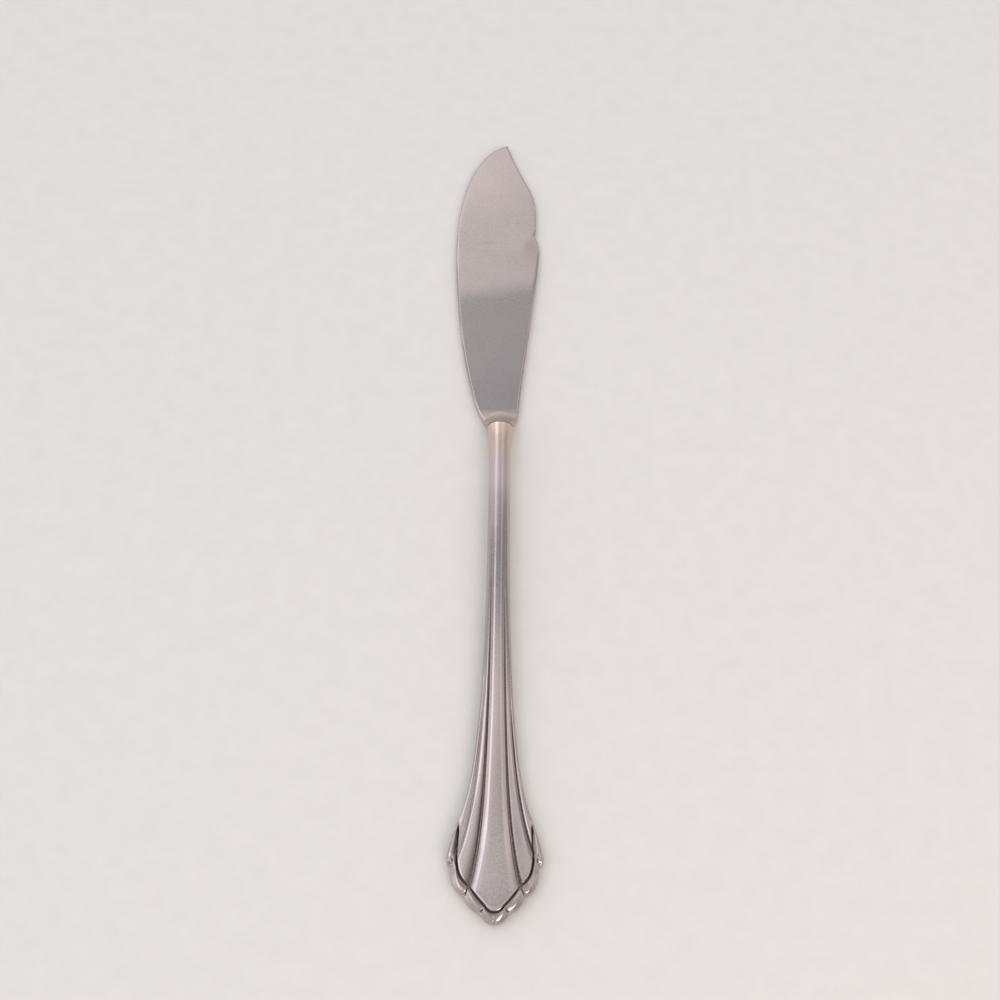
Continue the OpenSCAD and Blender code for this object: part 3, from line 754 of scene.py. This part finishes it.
# the rim: round petals between short cuts, and scrolls whose crest lies further out and ends in a curl
def addRim(tree, given, trait, runout):
    petal = addNode(tree, "ShaderNodeFloatCurve", {}, {"Value": trait["fold"]}, [
        (0.0, 0.0), (0.2, 0.5), (0.42, 1.0), (0.6, 0.85), (0.85, 0.35), (1.0, 0.0)])
    leaf = addNode(tree, "ShaderNodeFloatCurve", {}, {"Value": trait["rim"]}, [
        (0.0, 0.0), (0.25, 0.12), (0.45, 0.6), (0.6, 0.92), (0.8, 1.0), (0.92, 0.85), (1.0, 0.45)])
    onLeaf = addNode(tree, "ShaderNodeMapRange", smooth, {
        "Value": trait["across"], "From Min": 0.82, "From Max": 0.9}).outputs["Result"]
    crest = addNode(tree, "ShaderNodeMix", {}, {0: onLeaf, 2: petal.outputs[0], 3: leaf.outputs[0]})
    crestRun = addNode(tree, "ShaderNodeMath", times, {0: crest.outputs[0], 1: runout})
    bead = addNode(tree, "ShaderNodeMath", times, {0: crestRun.outputs[0], 1: given["Bead height"]})
    curlShape = addNode(tree, "ShaderNodeFloatCurve", {}, {"Value": trait["curl"]}, [
        (0.0, 0.0), (0.2, 0.3), (0.45, 0.8), (0.7, 1.0), (1.0, 1.05)])
    curlRise = addNode(tree, "ShaderNodeMath", times, {0: curlShape.outputs[0], 1: given["Curl height"]})
    rise = addNode(tree, "ShaderNodeMath", {"operation": "ADD"}, {0: bead.outputs[0], 1: curlRise.outputs[0]})
    cutPlace = addNode(tree, "ShaderNodeFloatCurve", {}, {"Value": trait["rim"]}, [
        (0.0, 0.0), (0.3, 0.8), (0.6, 1.0), (0.85, 0.9), (1.0, 0.0)])
    petalCut = addNode(tree, "ShaderNodeMath", times, {0: trait["cut"], 1: cutPlace.outputs[0]})
    cut = addNode(tree, "ShaderNodeMath", larger, {0: petalCut.outputs[0], 1: trait["hook"]})
    drop = addNode(tree, "ShaderNodeMath", times, {0: cut.outputs[0], 1: given["Cut depth"]})
    return {"onLeaf": onLeaf, "rise": rise.outputs[0], "cut": cut.outputs[0], "drop": drop.outputs[0]}


# dirt and oxide on the floors of the flutes; the wider cover on the left half beside the inner flutes, and
# the stronger dark in the right outer flutes, are painted shade on the sides the light from the left leaves
# in shade
def addFluteDirtAndShade(tree, look, given, trait, flutes):
    # on the left half the dark spreads wider, up the side lobe's flank that faces away from the light:
    # painted shade
    leftFloorAndShade = addNode(tree, "ShaderNodeFloatCurve", {}, {"Value": trait["across"]}, [
        (0.0, 0.0), (0.43, 0.0), (0.49, 0.7), (0.53, 1.0), (0.57, 1.0), (0.6, 0.75), (0.64, 0.3),
        (0.7, 0.05), (0.75, 0.0), (1.0, 0.0)])
    slimFloor = addNode(tree, "ShaderNodeFloatCurve", {}, {"Value": trait["across"]}, [
        (0.0, 0.0), (0.5, 0.0), (0.535, 0.9), (0.56, 1.0), (0.58, 0.8), (0.61, 0.2), (0.65, 0.0), (1.0, 0.0)])
    outerFloor = addNode(tree, "ShaderNodeFloatCurve", {}, {"Value": trait["across"]}, [
        (0.0, 0.0), (0.83, 0.0), (0.86, 0.9), (0.88, 1.0), (0.9, 0.8), (0.925, 0.0), (1.0, 0.0)])
    innerFloorAndShade = addNode(tree, "ShaderNodeMix", {}, {
        0: trait["right"], 2: leftFloorAndShade.outputs[0], 3: slimFloor.outputs[0]})
    darkOn = addNode(tree, "ShaderNodeMapRange", {}, {
        "Value": trait["along"],
        "From Min": given["Dark flutes from"], "From Max": given["Dark flutes full"]})
    left, right = look["innerDirtAndShade"]
    innerShare = addNode(tree, "ShaderNodeMix", {}, {0: trait["right"], 2: left, 3: right})
    innerLeft = addNode(tree, "ShaderNodeMath", times, {
        0: innerShare.outputs[0], 1: darkOn.outputs["Result"]})
    # the right outer flutes get far more dark than the left ones: painted shade on the side the light leaves
    # in shade
    left, right = look["outerDirtAndShade"]
    outerShare = addNode(tree, "ShaderNodeMix", {}, {0: trait["right"], 2: left, 3: right})
    outerLeft = addNode(tree, "ShaderNodeMath", times, {0: outerShare.outputs[0], 1: flutes["outerOn"]})
    innerDirtAndShade = addNode(tree, "ShaderNodeMath", times, {0: innerFloorAndShade.outputs[0], 1: innerLeft.outputs[0]})
    outerDirtAndShade = addNode(tree, "ShaderNodeMath", times, {0: outerFloor.outputs[0], 1: outerLeft.outputs[0]})
    both = addNode(tree, "ShaderNodeMath", larger, {0: innerDirtAndShade.outputs[0], 1: outerDirtAndShade.outputs[0]})
    return addNode(tree, "ShaderNodeMath", times, {0: both.outputs[0], 1: flutes["offRim"]}).outputs[0]


# dirt and oxide in the groove and in the cuts, and painted shade on the inner slopes of the rim: under the
# scrolls' beads, and behind the petals, where it also stands for tarnish
def addEndDirtAndShade(tree, look, trait, groove, rim):
    inGroove = addNode(tree, "ShaderNodeMapRange", smooth, {
        "Value": groove["shape"], "From Min": 0.4, "From Max": 0.95, "To Max": look["grooveDirt"]})
    # dark at the feet of the petals' inner slopes: painted shade that gives them volume, which also stands
    # for tarnish left where buffing does not reach
    dirtAndShadeBehindPetal = addNode(tree, "ShaderNodeFloatCurve", {}, {"Value": trait["fold"]}, [
        (0.0, 0.0), (0.03, 0.55), (0.15, 0.35), (0.3, 0.15), (0.45, 0.0), (1.0, 0.0)])
    # dark on the scrolls' inner slopes, stronger on the left: painted shade on the steep walls the light
    # leaves in shade
    shadeBehindLeaf = addNode(tree, "ShaderNodeFloatCurve", {}, {"Value": trait["rim"]}, [
        (0.0, 0.0), (0.03, 0.9), (0.3, 0.8), (0.5, 0.5), (0.65, 0.05), (1.0, 0.0)])
    left, right = look["leafShade"]
    leafShare = addNode(tree, "ShaderNodeMix", {}, {0: trait["right"], 2: left, 3: right})
    leafShade = addNode(tree, "ShaderNodeMath", times, {0: shadeBehindLeaf.outputs[0], 1: leafShare.outputs[0]})
    slopeDirtAndShade = addNode(tree, "ShaderNodeMix", {}, {
        0: rim["onLeaf"], 2: dirtAndShadeBehindPetal.outputs[0], 3: leafShade.outputs[0]})
    cutDirt = addNode(tree, "ShaderNodeMath", times, {0: rim["cut"], 1: look["cutDirt"]})
    rimDirtAndShade = addNode(tree, "ShaderNodeMath", larger, {0: slopeDirtAndShade.outputs[0], 1: cutDirt.outputs[0]})
    onRim = addNode(tree, "ShaderNodeMath", times, {0: rimDirtAndShade.outputs[0], 1: groove["runout"]})
    return addNode(tree, "ShaderNodeMath", larger, {
        0: inGroove.outputs["Result"], 1: onRim.outputs[0]}).outputs[0]


def struckReliefTree(look):
    tree = bpy.data.node_groups.new("struck relief", "GeometryNodeTree")
    tree.interface.new_socket("Geometry", in_out="OUTPUT", socket_type="NodeSocketGeometry")
    tree.interface.new_socket("Blank", in_out="INPUT", socket_type="NodeSocketGeometry")
    for name in look["relief"]:
        tree.interface.new_socket(name, in_out="INPUT", socket_type="NodeSocketFloat")
    tree.interface.new_socket("Steel", in_out="INPUT", socket_type="NodeSocketMaterial")
    given = addNode(tree, "NodeGroupInput").outputs
    trait = {}
    for name in ("across", "gap", "rim", "fold", "cut", "curl", "hook", "front"):
        stored = addNode(tree, "GeometryNodeInputNamedAttribute", {"data_type": "FLOAT"}, {"Name": name})
        trait[name] = stored.outputs[0]
    position = addNode(tree, "GeometryNodeInputPosition").outputs[0]
    place = addNode(tree, "ShaderNodeSeparateXYZ", {}, {0: position}).outputs
    trait["along"] = place["Y"]
    trait["right"] = addNode(tree, "ShaderNodeMapRange", {}, {  # 0 on the left half, 1 on the right
        "Value": place["X"], "From Min": -mm, "From Max": mm}).outputs["Result"]
    flutes = addFlutes(tree, given, trait)
    groove = addGroove(tree, given, trait)
    rim = addRim(tree, given, trait, groove["runout"])
    hollow = addNode(tree, "ShaderNodeMath", larger, {0: flutes["drop"], 1: groove["drop"]})
    drop = addNode(tree, "ShaderNodeMath", {"operation": "ADD"}, {0: hollow.outputs[0], 1: rim["drop"]})
    height = addNode(tree, "ShaderNodeMath", {"operation": "SUBTRACT"}, {0: rim["rise"], 1: drop.outputs[0]})
    strike = addNode(tree, "ShaderNodeMath", times, {0: height.outputs[0], 1: trait["front"]})
    upward = addNode(tree, "ShaderNodeCombineXYZ", {}, {"Z": strike.outputs[0]})
    moved = addNode(tree, "GeometryNodeSetPosition", {}, {
        "Geometry": given["Blank"], "Offset": upward.outputs[0]})
    # oxide and dirt in the hollows together with painted shade on flanks and slopes, stored for the steel to
    # darken
    dirtAndShade = addNode(tree, "ShaderNodeMath", larger, {
        0: addFluteDirtAndShade(tree, look, given, trait, flutes), 1: addEndDirtAndShade(tree, look, trait, groove, rim)})
    frontDirtAndShade = addNode(tree, "ShaderNodeMath", times, {0: dirtAndShade.outputs[0], 1: trait["front"]})
    stored = addNode(tree, "GeometryNodeStoreNamedAttribute", {"data_type": "FLOAT", "domain": "POINT"}, {
        "Geometry": moved.outputs["Geometry"], "Name": "tarnishAndShade", "Value": frontDirtAndShade.outputs[0]})
    whole = addNode(tree, "GeometryNodeRealizeInstances", {}, {"Geometry": stored.outputs["Geometry"]})
    finished = addNode(tree, "GeometryNodeSetMaterial", {}, {
        "Geometry": whole.outputs["Geometry"], "Material": given["Steel"]})
    addNode(tree, "NodeGroupOutput", {}, {"Geometry": finished.outputs["Geometry"]})
    return tree


def struckHandleSteel(look, jointY):
    # stainless, die struck and buffed: soft mirror on the ridges, dark oxide left in the grooves, and the
    # same dark as painted shade on the flanks and slopes that face away from the light
    # the neck is wiped lighter but duller, its lighter colour partly a painted sheen standing in for the
    # neck's broad soft highlight, and at the joint the brazing heat has left it a little yellow
    material, tree, shader, worn = wornSteel("struck and buffed stainless", look)
    groove = addNode(tree, "ShaderNodeAttribute", {"attribute_name": "tarnishAndShade"}).outputs["Fac"]
    patchy = addNode(tree, "ShaderNodeMath", {"operation": "SUBTRACT"}, {0: worn["speckle"], 1: 0.5})
    ragged = addNode(tree, "ShaderNodeMath", timesPlus, {0: groove, 1: patchy.outputs[0], 2: groove})
    dark = addNode(tree, "ShaderNodeMapRange", {}, {
        "Value": ragged.outputs[0], "From Min": 0.0, "From Max": look["tarnishFull"]}).outputs["Result"]
    along = addNode(tree, "ShaderNodeSeparateXYZ", {}, {0: worn["spot"]}).outputs["Y"]
    onNeck = addNode(tree, "ShaderNodeMapRange", smooth, {
        "Value": along,
        "From Min": jointY - look["wipedFrom"] * mm, "From Max": jointY - look["wipedFull"] * mm})
    # lighter toward the joint: partly wiped steel, partly a painted sheen standing in for the neck's soft
    # highlight
    wipedAndSheen = addNode(tree, "ShaderNodeMix", inColor, {
        0: onNeck.outputs["Result"], 6: worn["color"], 7: hexToLinear(look["wipedAndSheen"])})
    nearJoint = addNode(tree, "ShaderNodeMapRange", smooth, {
        "Value": along,
        "From Min": jointY - look["heatFrom"] * mm, "From Max": jointY - look["heatFull"] * mm})
    heat = addNode(tree, "ShaderNodeMath", times, {0: nearJoint.outputs["Result"], 1: look["heatShare"]})
    warm = addNode(tree, "ShaderNodeMix", inColor, {
        0: heat.outputs[0], 6: wipedAndSheen.outputs[2], 7: hexToLinear(look["heated"])})
    # the stored mask darkens the steel: oxide in the hollows and painted shade on the shaded flanks and
    # slopes
    color = addNode(tree, "ShaderNodeMix", inColor, {
        0: dark, 6: warm.outputs[2], 7: hexToLinear(look["tarnishAndShade"])})
    tree.links.new(color.outputs[2], shader.inputs["Base Color"])
    fromJoint = addNode(tree, "ShaderNodeMapRange", {}, {
        "Value": along, "From Min": jointY, "From Max": jointY - look["dullLength"] * mm})
    dullNeck = addNode(tree, "ShaderNodeFloatCurve", {}, {
        "Value": fromJoint.outputs["Result"]}, look["dullNeck"])
    duller = addNode(tree, "ShaderNodeMath", larger, {0: worn["roughness"], 1: dullNeck.outputs[0]})
    rough = addNode(tree, "ShaderNodeMix", {}, {0: dark, 2: duller.outputs[0], 3: look["tarnishRoughness"]})
    tree.links.new(rough.outputs[0], shader.inputs["Roughness"])
    return material


def strikeHandle(blank, endY, look, steel):
    tree, relief = struckReliefTree(look), look["relief"]
    modifier = blank.modifiers.new("struck relief", "NODES")
    modifier.node_group = tree
    for item in tree.interface.items_tree:
        if item.name in relief:
            value = relief[item.name] * mm
            modifier[item.identifier] = value + endY if "flutes" in item.name else value
        elif item.name == "Steel":
            modifier[item.identifier] = steel
    graph = bpy.context.evaluated_depsgraph_get()
    struck = bpy.data.meshes.new_from_object(
        blank.evaluated_get(graph), preserve_all_data_layers=True, depsgraph=graph)
    blank.modifiers.remove(modifier)
    plain = blank.data
    blank.data = struck
    bpy.data.meshes.remove(plain)


handle, handleEnd = makeBlank(handleSettings)
strikeHandle(handle, handleEnd, handleSettings, struckHandleSteel(handleSettings, mouthY))
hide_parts("handle")
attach(handle, "root")
print("handle struck:", len(handle.data.polygons), "faces")

# the braze keeps its own shape and gets a tarnished solder

brazeSettings = {"solder": "#9a8674", "dark": "#6b594b", "patch": 0.5, "roughness": (0.35, 0.6)}


def tarnishedSolder(look):
    # silver solder, wiped and long tarnished: brown grey, uneven, dull
    material, tree, shader, spot = newMaterial("tarnished silver solder", 1.0)
    patch = addNode(tree, "ShaderNodeTexNoise", {}, {
        "Vector": spot, "Scale": 1 / (look["patch"] * mm), "Detail": 3.0}).outputs["Fac"]
    color = addNode(tree, "ShaderNodeMix", inColor, {
        0: patch, 6: hexToLinear(look["dark"]), 7: hexToLinear(look["solder"])})
    tree.links.new(color.outputs[2], shader.inputs["Base Color"])
    low, high = look["roughness"]
    rough = addNode(tree, "ShaderNodeMapRange", {}, {"Value": patch, "To Min": high, "To Max": low})
    tree.links.new(rough.outputs["Result"], shader.inputs["Roughness"])
    return material


solder = tarnishedSolder(brazeSettings)
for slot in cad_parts["neck_braze"].material_slots:
    slot.material = solder
print("braze finished")

# floor: half its width in metres, and how far it lies below the knife in mm

floorSettings = {
    "board": "#e6e2dc", "shade": "#dcd8d2", "fleck": 4.0, "roughness": 0.7, "half": 1.5, "below": 0.05,
}


def paleBoard(look):
    # matt painted board: almost even, with a faint mottle
    material, tree, shader, spot = newMaterial("matt painted board", 0.0)
    shader.inputs["Roughness"].default_value = look["roughness"]
    fleck = addNode(tree, "ShaderNodeTexNoise", {}, {
        "Vector": spot, "Scale": 1 / (look["fleck"] * mm), "Detail": 4.0})
    color = addNode(tree, "ShaderNodeMix", inColor, {
        0: fleck.outputs["Fac"], 6: hexToLinear(look["shade"]), 7: hexToLinear(look["board"])})
    tree.links.new(color.outputs[2], shader.inputs["Base Color"])
    return material


def makeFloor(look):
    half, level = look["half"], -look["below"] * mm
    corners = [(x * half, y * half, level) for x, y in ((-1, -1), (1, -1), (1, 1), (-1, 1))]
    mesh = bpy.data.meshes.new("floor")
    mesh.from_pydata(corners, [], [(0, 1, 2, 3)])
    mesh.materials.append(paleBoard(look))
    floor = bpy.data.objects.new("floor", mesh)
    bpy.context.scene.collection.objects.link(floor)


makeFloor(floorSettings)
print("floor laid")
